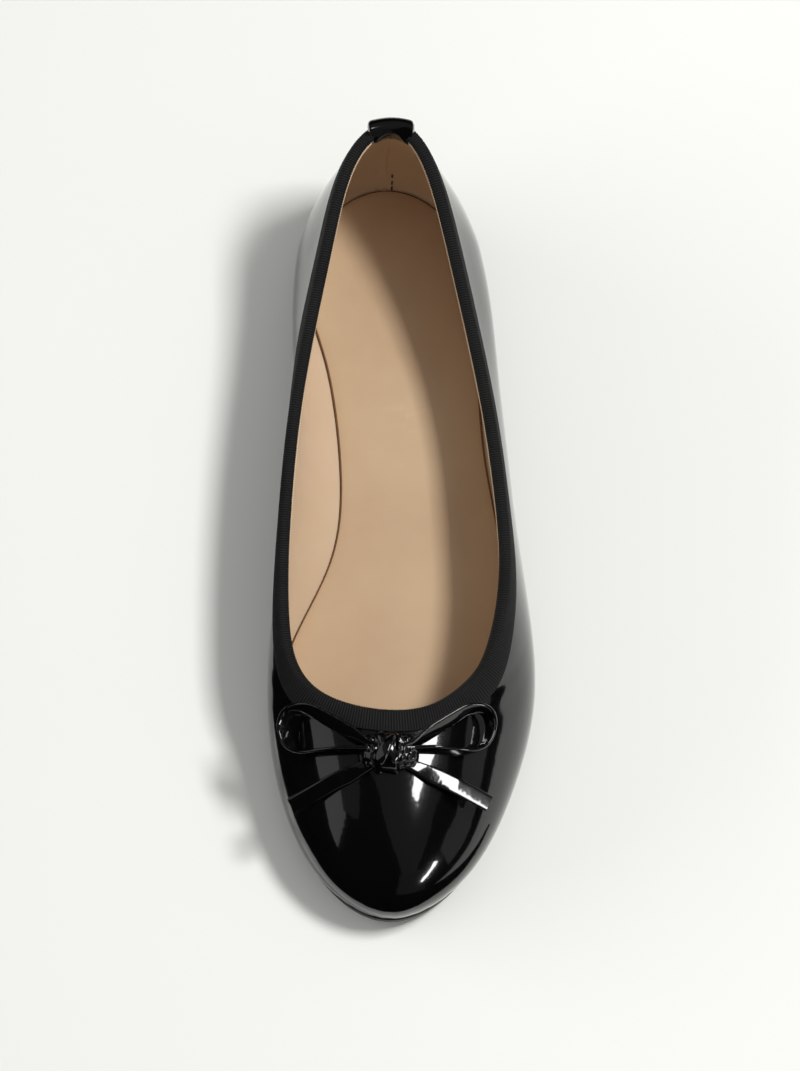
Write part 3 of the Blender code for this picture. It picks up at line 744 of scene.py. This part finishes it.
# The collar tape: black grosgrain ribbon folded over the raw rim and stitched through, its ribs lying
# across the fold. Each rib's crest carries a paler copy of the grosgrain as painted highlight, and the
# furrows carry a darker copy as painted shade.
RIB_PITCH = 0.0008
RIB_HEIGHT = 0.00024
RIB_STEPS = 4
TAPE_CROWN = 0.0011
SELVEDGE = 0.0006


def even_stations(pitch, steps):
    """Stations along the rim so that each pitch of its length has the same number of steps."""
    fine = np.linspace(0, COUNT, 4001)
    rim = wall(fine, 1.0)
    run = np.concatenate([[0.0], np.cumsum(np.linalg.norm(np.diff(rim, axis=0), axis=1))])
    ribs = round(run[-1] / pitch)
    return np.interp(np.arange(ribs * steps) * run[-1] / (ribs * steps), run, fine)


def over_rim(crown, clear, count):
    """Half an oval over the rim, as (depth, offset) from the outer side to the inner."""
    turns = [math.pi * k / (count - 1) for k in range(count)]
    return [(-crown * math.sin(turn), -WALL / 2 + (WALL / 2 + clear) * math.cos(turn)) for turn in turns]


def tape_section(near, far):
    """The folded tape as (depth, offset, rib share): its outer face from the outer leg's end round to the
    inner leg's, and back along its inner face."""
    outer_leg, inner_leg = TAPE_OUTER_LEG, TAPE_INNER_LEG
    face = [(outer_leg, far - 0.6 * (far - near), 0.0), (outer_leg, far - 0.1 * (far - near), 0.0)]
    face += [(outer_leg - SELVEDGE, far, 0.3), (outer_leg * 0.6, far, 1.0), (outer_leg * 0.3, far, 1.0)]
    face += [(depth, offset, 1.0) for depth, offset in over_rim(TAPE_CROWN, far, 9)]
    face += [(inner_leg * 0.5, -WALL - far, 0.6), (inner_leg, -WALL - far + 0.1 * (far - near), 0.0)]
    face += [(inner_leg, -WALL - near, 0.0)]
    face += [(depth, offset, 0.0) for depth, offset in reversed(over_rim(GAP, near, 3))]
    return face + [(outer_leg * 0.5, near, 0.0)]


def grosgrain(name, low_code, high_code):
    """Grosgrain: matt viscose yarns packed over thick wefts. The ribs are in the mesh, and this gives the
    fine yarns that cross them, 0.25 mm apart, with a dusty sheen. It is called twice: with pale codes as
    painted highlight on each rib's crest, and with dark codes as painted shade in the furrows."""
    made, tree, place = new_finish(name, {
        "Roughness": 0.72, "IOR": 1.46, "Specular IOR Level": 0.18, "Sheen Weight": 0.06,
        "Sheen Roughness": 0.4,
    })
    cloudy(tree, place, 0.010, 5.0, low_code, high_code)
    join_surface(tree, "Normal", bumps(tree, place, 0.00025, 0.5, 0.00006))
    return made


def make_tape():
    stations = even_stations(RIB_PITCH, RIB_STEPS)
    rib = RIB_HEIGHT * 0.5 * (1 + np.cos(2 * math.pi * np.arange(len(stations)) / RIB_STEPS))
    reach = WALL / 2 + GAP + TAPE_THICKNESS
    rings = []
    for depth, offset, share in tape_section(GAP, GAP + TAPE_THICKNESS):
        lift = rib * share
        if depth < 0:
            size = max(math.hypot(depth / TAPE_CROWN, (offset + WALL / 2) / reach), 1e-6)
            rise, spread = -depth / TAPE_CROWN / size, (offset + WALL / 2) / reach / size
            rings.append(rim_place(stations, depth - lift * rise, offset + lift * spread))
        else:
            side = 1 if offset > -WALL / 2 else -1
            rings.append(rim_place(stations, depth, offset + side * lift))
    # A darker grosgrain in the furrows as painted shade, and a paler one on each rib's crest as painted
    # highlight
    finishes = [grosgrain("grosgrain_furrow_painted_shade", "#060606", "#0C0C0C"),
                grosgrain("grosgrain_crest_painted_highlight", "#191919", "#242423")]
    painted_highlight_crests = [1 if k % RIB_STEPS in (0, RIB_STEPS - 1) else 0 for k in range(len(stations))]
    return tube_piece("collar_tape", rings, finishes, sharp=70, numbers=painted_highlight_crests * len(rings))


tape = make_tape()
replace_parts(tape, "topline_binding")


# The heel tab: a short strip of patent folded over the tape at the back and stitched down outside. Its two
# cut ends curl up off the tape a little.
TAB_WIDTH = 0.0142
TAB_THICKNESS = 0.0010
TAB_OUTER_LEG = 0.0160
TAB_INNER_LEG = 0.0052
TAB_STEP = 0.0012
TAB_CORNER_LIFT = 0.0009
TAB_ARCH = 0.80
TAB_NARROWING = 0.20
TAB_END_LIFT = 0.0006
TAB_CROWN_CLEAR = 0.0002
# The tab's faces are pinched together at its two long edges, from a share of the way out
TAB_PINCH = 0.00035
TAB_PINCH_FROM = 0.9


def tab_stations(sides, depth, offset):
    """The stations at which the tab is its own width across, from -1 at one edge to 1 at the other."""
    middle = rim_place(np.zeros(1), depth, offset)
    stations = 0.3 * sides
    for _ in range(5):
        reach = np.linalg.norm(rim_place(stations, depth, offset) - middle, axis=1)
        stations = stations * np.abs(sides) * TAB_WIDTH / 2 / np.maximum(reach, 1e-7)
    return stations


def tab_sections():
    """The folded tab's two faces as (depth, offset): the outer one from the outer leg's end over the rim to
    the inner leg's, and the inner one back."""
    near, far = 2 * GAP + TAPE_THICKNESS, 2 * GAP + TAPE_THICKNESS + TAB_THICKNESS
    crown = TAPE_CROWN + RIB_HEIGHT + TAB_CROWN_CLEAR
    below = TAPE_OUTER_LEG + TAB_STEP
    rest = TAB_OUTER_LEG - below
    outer = [(below + rest * share, GAP + TAB_THICKNESS) for share in (1, 0.75, 0.5, 0.25)]
    outer += [(below, 1.6 * GAP + TAB_THICKNESS), (TAPE_OUTER_LEG, far - 0.2 * GAP)]
    outer += [(TAPE_OUTER_LEG * 0.5, far)]
    outer += over_rim(crown + TAB_THICKNESS, far, 9)
    outer += [(TAB_INNER_LEG * 0.5, -WALL - far), (TAB_INNER_LEG * 0.95, -WALL - far)]
    inner = [(TAB_INNER_LEG, -WALL - near), (TAB_INNER_LEG * 0.5, -WALL - near)]
    inner += reversed(over_rim(crown, near, 5))
    inner += [(TAPE_OUTER_LEG * 0.5, near), (TAPE_OUTER_LEG + GAP, near)]
    return outer, inner + [(below, 2 * GAP), (TAB_OUTER_LEG, GAP)]


def make_tab():
    sides = np.sin(np.linspace(-math.pi / 2, math.pi / 2, 41))
    pinch = TAB_PINCH * np.maximum(0.0, np.abs(sides) - TAB_PINCH_FROM) / (1 - TAB_PINCH_FROM)
    rings = []
    for face, section in zip((1, -1), tab_sections()):
        for depth, offset in section:
            fade = 1 - min(1.0, max(0.0, depth) / TAB_OUTER_LEG)
            inside = min(1.0, max(0.0, (-offset - WALL / 2) / (WALL / 2 + 2 * GAP + TAPE_THICKNESS)))
            stations = tab_stations(sides * (1 - TAB_NARROWING * inside), depth, offset)
            if offset > -WALL / 2:
                lift = TAB_CORNER_LIFT * sides ** 2 * fade
                places = rim_place(stations, depth, offset + lift - face * pinch)
            else:
                places = rim_place(stations, depth * (1 - TAB_ARCH * sides ** 2), offset + face * pinch)
            rings.append(raised(places, TAB_END_LIFT * sides ** 2 * fade * (1 - inside)))
    across = np.array(rings).transpose(1, 0, 2)
    return tube_piece("heel_tab_fold", across, [PATENT], capped=True, sharp=60)


tab = make_tab()
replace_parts(tab, "heel_tab")


# The bow: one narrow folded strip of patent, tied by hand. The back of each loop leans to the heel, its end
# stands square to the leather and its front tips a little inwards. The two ends lift off the vamp at the
# tips.
STRIP_WIDTH = 0.0052
STRIP_THICKNESS = 0.0011
BOW_REACH = 0.0330
BOW_LENGTH = 0.0240
TAIL_FREE = 0.0100
KNOT_WIDTH = 0.0140
KNOT_LENGTH = 0.0115
KNOT_HEIGHT = 0.0070
BOW_ACROSS = -0.105
BOW_ALONG = -0.322
KNOT_ALONG = -0.05

# The route of a loop's lower edge and of a tail's middle, as (out, along, clear, lean). out is a share of
# the way from the knot's side to the bow's reach, along a share of the bow's length, minus to the toe, clear
# is how far the strip stands off the leather, as a share of its width, and lean, which a tail doesn't have,
# is how far it tips outwards from the loop, in degrees.
LOOP = (
    (-0.12, -0.06, 0.34, 30), (0.03, 0.00, 0.40, 38), (0.20, 0.12, 0.44, 44), (0.43, 0.30, 0.46, 46),
    (0.62, 0.46, 0.44, 40), (0.77, 0.50, 0.38, 22), (0.84, 0.36, 0.24, 4), (0.80, 0.14, 0.10, -6),
    (0.66, 0.00, 0.08, -12), (0.43, -0.03, 0.08, -14), (0.20, -0.04, 0.10, -16), (0.03, -0.05, 0.14, -18),
    (-0.12, -0.06, 0.22, -18),
)
TAILS = {
    1: ((-0.10, -0.18, 0.30), (0.07, -0.26, 0.24), (0.20, -0.32, 0.32), (0.35, -0.385, 0.46),
        (0.50, -0.455, 0.66)),
    -1: ((-0.10, -0.18, 0.30), (0.07, -0.26, 0.20), (0.20, -0.32, 0.18), (0.35, -0.385, 0.30),
         (0.50, -0.46, 0.42)),
}
# The way that each tail's face looks once it is clear of the leather
TAIL_FACES = {1: (0.256, -0.16, 0.953), -1: (-0.05, -0.46, 0.885)}
# How much flatter each loop's back lies than the table says, in degrees, where it leans the most
FLATTER = {1: 0.0, -1: 14.0}
GREATEST_LEAN = 46
# The knot pinches the strip to a share of its width, which it leaves by a share of the way out
PINCHED = 0.62
PINCH_OUT = 0.22
LOOP_POINTS = 140
TAIL_POINTS = 44


def vamp_tree():
    """The vamp's surface, for laying the bow on."""
    stations = np.arange(7.0, 14.01, 0.05)
    ups = np.linspace(0, 1, 81)
    grid = np.array([wall(stations, v) for v in ups])
    wide = len(stations)
    faces = [
        (i * wide + j, i * wide + j + 1, (i + 1) * wide + j + 1, (i + 1) * wide + j)
        for i in range(len(ups) - 1) for j in range(wide - 1)
    ]
    return BVHTree.FromPolygons([Vector(point) for point in grid.reshape(-1, 3)], faces)


VAMP = vamp_tree()


def leather_under(x, y):
    """The leather's place and normal straight below a point."""
    hit, normal, _, _ = VAMP.ray_cast(Vector((x, y, 1.0)), Vector((0.0, 0.0, -1.0)))
    return np.array(hit), np.array(normal if normal.z > 0 else -normal)


def smooth_route(turns, count):
    """Even points on the smooth open curve through the turns, ends included."""
    values = np.array(turns)
    last = len(values) - 1
    padded = np.concatenate([[2 * values[0] - values[1]], values, [2 * values[last] - values[last - 1]]])
    route = []
    for place in np.linspace(0, last, count):
        i = min(int(place), last - 1)
        t = place - i
        before, a, b, after = padded[i:i + 4]
        bend = before - 2.5 * a + 2 * b - after / 2
        route.append(a + t * ((b - before) / 2 + t * (bend + t * (1.5 * (a - b) + (after - before) / 2))))
    return np.array(route)


def turned(vector, axis, angle):
    """A vector turned about a unit axis."""
    return (vector * math.cos(angle) + np.cross(axis, vector) * math.sin(angle)
            + axis * np.dot(axis, vector) * (1 - math.cos(angle)))


def unit(vector):
    return vector / np.linalg.norm(vector)


def runs_of(line):
    """The way along a line of points, at each of them."""
    line = np.array(line)
    return line[[*range(1, len(line)), -1]] - line[[0, *range(len(line) - 1)]]


def strip_outline(width, thickness):
    """The folded strip's section: round edges and a faintly cushioned face on either side."""
    half, thin = width / 2, thickness / 2
    outline = []
    for side in (1, -1):
        for k in range(7):
            turn = math.pi * (k / 6 - 0.5)
            outline.append((side * (half - thin + thin * math.cos(turn)), side * thin * math.sin(turn)))
        for share in (0.5, 0.0, -0.5):
            outline.append((side * half * share, side * thin * (1.16 - 0.24 * abs(share))))
    return outline


def strip_piece(name, spine, wide_ways, widths, thickness):
    """A folded strip along a spine, with its way across and its width at each point."""
    rings = []
    for place, run, wide, width in zip(spine, runs_of(spine), wide_ways, widths):
        ahead = unit(run)
        wide = unit(wide - ahead * np.dot(wide, ahead))
        thick = np.cross(ahead, wide)
        rings.append([place + a * wide + b * thick for a, b in strip_outline(width, thickness)])
    made = tube_piece(name, rings, [PATENT], capped=True, sharp=60)
    return made


def leather_at(side, out, along):
    """The leather's place and normal below a place of a loop's or a tail's route."""
    knot_side = KNOT_WIDTH / 2 + GAP
    x = BOW_ACROSS * BALL_WIDTH / 2 + side * (knot_side + out * (BOW_REACH - knot_side))
    return leather_under(x, BOW_ALONG * LENGTH + along * BOW_LENGTH)


def make_loop(name, side):
    route = smooth_route(LOOP, LOOP_POINTS)
    feet, normals = [], []
    for out, along, clear, _ in route:
        ground, normal = leather_at(side, out, along)
        feet.append(ground + normal * (GAP + clear * STRIP_WIDTH))
        normals.append(normal)
    spine, wide_ways = [], []
    for foot, run, normal, lean in zip(feet, runs_of(feet), normals, route[:, 3]):
        run = unit(run - normal * np.dot(run, normal))
        lean += FLATTER[side] * max(0.0, lean) / GREATEST_LEAN
        up = turned(normal, run, -side * math.radians(lean))
        spine.append(foot + up * STRIP_WIDTH / 2)
        wide_ways.append(up)
    widths = STRIP_WIDTH * (PINCHED + (1 - PINCHED) * np.clip(route[:, 0] / PINCH_OUT, 0.0, 1.0))
    return strip_piece(name, spine, wide_ways, widths, STRIP_THICKNESS)


def make_tail(name, side):
    spine, normals = [], []
    for out, along, clear in smooth_route(TAILS[side], TAIL_POINTS):
        ground, normal = leather_at(side, out, along)
        spine.append(ground + normal * (GAP + clear * STRIP_WIDTH + STRIP_THICKNESS / 2))
        normals.append(normal)
    last, run_on = spine[-1], unit(spine[-1] - spine[-3])
    spine += [last + share * TAIL_FREE * run_on for share in np.linspace(0, 1, 17)[1:]]
    normals += [normals[-1]] * 16
    shares = np.minimum(1.0, np.arange(len(spine)) / (TAIL_POINTS / 2))
    face = np.array(TAIL_FACES[side])
    wide_ways = [
        np.cross((1 - share) * normal + share * face, run)
        for share, normal, run in zip(shares, normals, runs_of(spine))
    ]
    widths = STRIP_WIDTH * (PINCHED + (1 - PINCHED) * shares)
    return strip_piece(name, spine, wide_ways, widths, STRIP_THICKNESS)


for side, word in ((1, "outer"), (-1, "inner")):
    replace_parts(make_loop(f"bow_strip_loop_{word}", side), f"bow_loop_{word}")
    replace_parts(make_tail(f"bow_strip_tail_{word}", side), f"bow_tail_{word}")


# The knot: the strip wound over the bow's middle and crossed on top, with the loops and ends gathered tight
# into small puckers at either side. Each place of a band is (across, to the heel, up, width), in the knot's
# own sizes.
WRAP = (
    (0.00, 0.98, 0.05, 1.00), (0.00, 0.90, 0.38, 1.00), (0.00, 0.52, 0.64, 0.98), (0.00, 0.00, 0.72, 0.96),
    (0.00, -0.52, 0.64, 0.98), (0.00, -0.90, 0.40, 1.00), (0.00, -1.00, 0.05, 1.02),
)
UNDER_BAND = (
    (-0.62, 1.00, 0.20, 0.38), (-0.52, 0.84, 0.70, 0.44), (-0.10, 0.44, 0.92, 0.50),
    (0.48, -0.06, 0.92, 0.50), (0.92, -0.54, 0.72, 0.46), (1.20, -0.90, 0.12, 0.38),
)
OVER_BAND = (
    (0.78, 1.00, 0.20, 0.30), (0.60, 0.76, 0.78, 0.36), (0.16, 0.34, 1.08, 0.46),
    (-0.32, -0.18, 1.10, 0.56), (-0.66, -0.66, 0.86, 0.48), (-0.80, -1.02, 0.14, 0.34),
)
WRAP_WIDTH = 0.0068
WRAP_SHIFT = -0.0011
WRAP_THICKNESS = 0.0010
BAND_THICKNESS = 0.0013
GATHER_INNER = 0.0014
GATHER_OUTER = 0.0092
GATHER_HEIGHT = 0.0062
PUCKERS = 9
PUCKER_HEIGHT = 0.00042
BEAD_PITCH = 0.0021
BEAD_HEIGHT = 0.00018
CRUMPLE = 0.00012
CRUMPLE_RATE = 1100
BAND_POINTS = 72
GATHER_RINGS = 57
GATHER_AROUND = 168


def knot_axes():
    """The knot's middle on the leather, and its three directions: across, ahead to the heel, and up."""
    x = BOW_ACROSS * BALL_WIDTH / 2
    y = BOW_ALONG * LENGTH + KNOT_ALONG * BOW_LENGTH
    ground, up = leather_under(x, y)
    across = unit(np.array((1.0, 0.0, 0.0)) - up * up[0])
    return ground, across, np.cross(up, across), up


KNOT, ACROSS, AHEAD, UP = knot_axes()


def knot_place(a, b, c):
    """A place by the knot, its height measured from the leather below it."""
    foot = KNOT + a * ACROSS + b * AHEAD
    ground, _ = leather_under(foot[0], foot[1])
    return foot + (c + min(0.0, np.dot(ground - foot, UP))) * UP


def make_band(name, bands, thickness):
    """A band of the strip over the knot. It lies square to its run, and bulges up from its edges."""
    route = smooth_route(bands, BAND_POINTS)
    spine = [
        knot_place(WRAP_SHIFT + a * WRAP_WIDTH / 2, b * KNOT_LENGTH / 2, c * (KNOT_HEIGHT - thickness / 2))
        for a, b, c, _ in route
    ]
    wide_ways = [
        np.cross(unit(run), unit(place - KNOT - UP * KNOT_HEIGHT * 0.2))
        for place, run in zip(spine, runs_of(spine))
    ]
    return strip_piece(name, spine, wide_ways, route[:, 3] * WRAP_WIDTH, thickness)


def make_gather(name, side):
    """The puckered bundle at one side: long folds that run into the knot, each pinched into beads."""
    rings = []
    for t in np.arange(GATHER_RINGS) / (GATHER_RINGS - 1):
        a = GATHER_INNER + (GATHER_OUTER - GATHER_INNER) * t
        end = min(1.0, 6 * t) * max(0.0, 1 - ((t - 0.55) / 0.45) ** 4 if t > 0.55 else 1.0) ** 0.5
        half_b = KNOT_LENGTH / 2 * (0.94 - 0.10 * t) * max(end, 0.02)
        half_c = GATHER_HEIGHT / 2 * (1.05 - 0.35 * t) * max(end, 0.02)
        ring = []
        for angle in 2 * math.pi * np.arange(GATHER_AROUND) / GATHER_AROUND:
            fold = PUCKERS * angle / 2 + 0.5 * math.sin(5 * t + 2 * angle)
            crest = abs(math.cos(fold))
            bead = math.cos(2 * math.pi * a / BEAD_PITCH + 2.4 * round(fold / math.pi))
            lift = (PUCKER_HEIGHT * (crest - 0.6) + BEAD_HEIGHT * bead * crest) * end
            b = (half_b + lift) * math.cos(angle)
            c = half_c + (half_c + lift) * math.sin(angle)
            place = knot_place(side * a, b, c)
            crumple = noise.noise(Vector(place) * CRUMPLE_RATE) * CRUMPLE * end
            ring.append(place + crumple * (math.cos(angle) * AHEAD + math.sin(angle) * UP))
        rings.append(ring)
    made = tube_piece(name, rings, [PATENT], capped=True, sharp=80)
    return made


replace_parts(make_band("bow_knot_wrap", WRAP, WRAP_THICKNESS), "bow_knot")
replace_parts(make_band("bow_knot_under_band", UNDER_BAND, BAND_THICKNESS), "bow_knot")
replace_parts(make_band("bow_knot_over_band", OVER_BAND, BAND_THICKNESS), "bow_knot")
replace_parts(make_gather("bow_gather_outer", 1), "bow_knot")
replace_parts(make_gather("bow_gather_inner", -1), "bow_knot")


# The floor: a plain pale board under the shoe, wide enough to reach past the view and lit as evenly as the
# photo's.
def pale_floor():
    """Matt paint on a smooth board: it spreads the light evenly, almost white, with a faint grey cloud."""
    made, tree, place = new_finish("painted_floor_matt", {"Roughness": 0.75, "Specular IOR Level": 0.2})
    cloudy(tree, place, 0.35, 3.0, "#EBECE7", "#EFF0EB")
    return made


def staged_panel(name, corners, finish):
    mesh = bpy.data.meshes.new(name)
    mesh.from_pydata(corners, [], [tuple(range(len(corners)))])
    mesh.materials.append(finish)
    made = put(name, mesh)
    return made


FLOOR_REACH = 3.0
floor_corners = [(x * FLOOR_REACH, y * FLOOR_REACH, 0.0) for x, y in ((-1, -1), (1, -1), (1, 1), (-1, 1))]
staged_panel("floor", floor_corners, pale_floor())


# The light: one soft window high over the shoe's outer side, a wide fill overhead and a long one low down
# on the inner side, in a pale room. The gloss sees none of these. It sees the cards below: bright ones for
# the window and a lamp, grey ones for walls and ceiling, and black ones that keep the floor off the rim.
def area_light(name, place, size, power):
    """A white area light of a width and a height that faces the shoe and that the gloss doesn't mirror."""
    light = bpy.data.lights.new(name, "AREA")
    light.shape = "RECTANGLE"
    light.size, light.size_y = size
    light.energy = power
    made = put(name, light)
    made.location = place
    made.rotation_euler = (Vector(SHOE_MIDDLE) - Vector(place)).to_track_quat("-Z", "Y").to_euler()
    made.visible_glossy = False


def gloss_card(name, brightness, corners):
    """A panel that only the gloss mirrors: it lights nothing and no camera sees it."""
    glow = bpy.data.materials.new(name)
    glow.use_nodes = True
    tree = glow.node_tree
    tree.nodes.clear()
    shine = add_node(tree, "ShaderNodeEmission", {"Color": colour("#FFFFFF"), "Strength": brightness})
    add_node(tree, "ShaderNodeOutputMaterial", links={"Surface": shine.outputs["Emission"]})
    made = staged_panel(name, corners, glow)
    for way in ("camera", "diffuse", "shadow", "transmission", "volume_scatter"):
        setattr(made, f"visible_{way}", False)


SHOE_MIDDLE = (0.0, 0.0, 0.02)
area_light("key_window", (0.84, 0.14, 1.53), (0.46, 0.30), 24.5)
area_light("fill_ceiling", (0.2, -0.3, 2.6), (3.4, 3.4), 6.0)
area_light("fill_low_side", (-2.3, 0.1, 0.75), (2.6, 0.6), 25.0)

# The room as seen from the vamp: each level card's brightness, its height and its corners, in metres
CEILING_CARDS = (
    ("window", 22.0, 1.6, ((0.43, -0.42), (0.64, -0.52), (0.76, -0.28), (0.90, 0.50), (0.54, 0.50))),
    ("ceiling_inner_side", 0.13, 1.7,
     ((-1.05, -0.75), (-1.05, 1.2), (-0.42, 1.2), (-0.42, -0.42), (-0.62, -0.78))),
    ("ceiling_middle", 0.12, 1.7,
     ((-0.31, -0.30), (-0.31, 1.5), (1.25, 1.5), (1.25, -2.2), (0.45, -2.2), (-0.22, -0.68))),
)
# Each upright card's brightness and corners
WALL_CARDS = (
    ("wall_inner_side", 0.75,
     ((-1.2, -0.95, 0.05), (-1.2, 1.6, 0.05), (-1.2, 1.6, 2.0), (-1.2, -0.95, 2.05))),
    ("wall_toe_side", 0.10,
     ((0.10, -2.4, -0.02), (1.7, -2.4, -0.02), (1.7, -2.4, 1.9), (0.26, -2.4, 1.9))),
    ("wall_outer_side", 0.30,
     ((1.5, -1.1, 0.33), (1.5, 1.6, 0.33), (1.5, 1.6, 1.15), (1.5, -1.1, 1.15))),
    ("lamp_low", 24.0,
     ((1.00, -0.99, 0.76), (1.03, -0.93, 0.66), (0.82, -1.27, 0.44), (0.79, -1.30, 0.52))),
)
# Each black card stands on the floor, from under one of its two upper corners to under the other
BLACK_CARDS = (
    ("dark_flag", (-0.054, 0.03, 0.06), (-0.058, -0.075, 0.06)),
    ("dark_flag_corner", (-0.058, -0.075, 0.05), (-0.058, -0.120, 0.05)),
    ("dark_flag_toe", (-0.058, -0.120, 0.05), (-0.025, -0.144, 0.03)),
    ("dark_flag_tip", (-0.025, -0.144, 0.03), (0.030, -0.142, 0.02)),
    ("dark_flag_end", (0.030, -0.142, 0.02), (0.064, -0.104, 0.004)),
)
for name, brightness, height, corners in CEILING_CARDS:
    gloss_card(name, brightness, [(x, y, height) for x, y in corners])
for name, brightness, corners in WALL_CARDS:
    gloss_card(name, brightness, corners)
for name, start, end in BLACK_CARDS:
    gloss_card(name, 0.0, [(*start[:2], 0.0), (*end[:2], 0.0), end, start])

ROOM_LIGHT = 0.26
world = bpy.data.worlds.new("pale_room")
bpy.context.scene.world = world
world.use_nodes = True
background = world.node_tree.nodes["Background"]
background.inputs["Color"].default_value = colour("#FFFFFF")
background.inputs["Strength"].default_value = ROOM_LIGHT
world.cycles_visibility.glossy = False
bpy.context.scene.view_settings.view_transform = "Standard"


# The camera stands where the photographer's did, high over the toe, and turns to this one shoe.
CAMERA_PLACE = (-0.0489, -0.5717, 1.3703)
PHOTO_ELEVATION = 66.0
LENS = 156.0
SENSOR = 36.0
TARGET = (0.0, -0.003, 0.018)

camera_data = bpy.data.cameras.new("camera")
camera_data.sensor_fit = "AUTO"
camera_data.sensor_width = SENSOR
camera_data.lens = LENS
camera = put("camera", camera_data)
camera.location = CAMERA_PLACE
photo_turn = Euler((math.radians(90 - PHOTO_ELEVATION), 0.0, 0.0)).to_quaternion()
photo_view = photo_turn @ Vector((0.0, 0.0, -1.0))
shoe_view = (Vector(TARGET) - Vector(CAMERA_PLACE)).normalized()
camera.rotation_mode = "QUATERNION"
camera.rotation_quaternion = photo_view.rotation_difference(shoe_view) @ photo_turn
bpy.context.scene.camera = camera
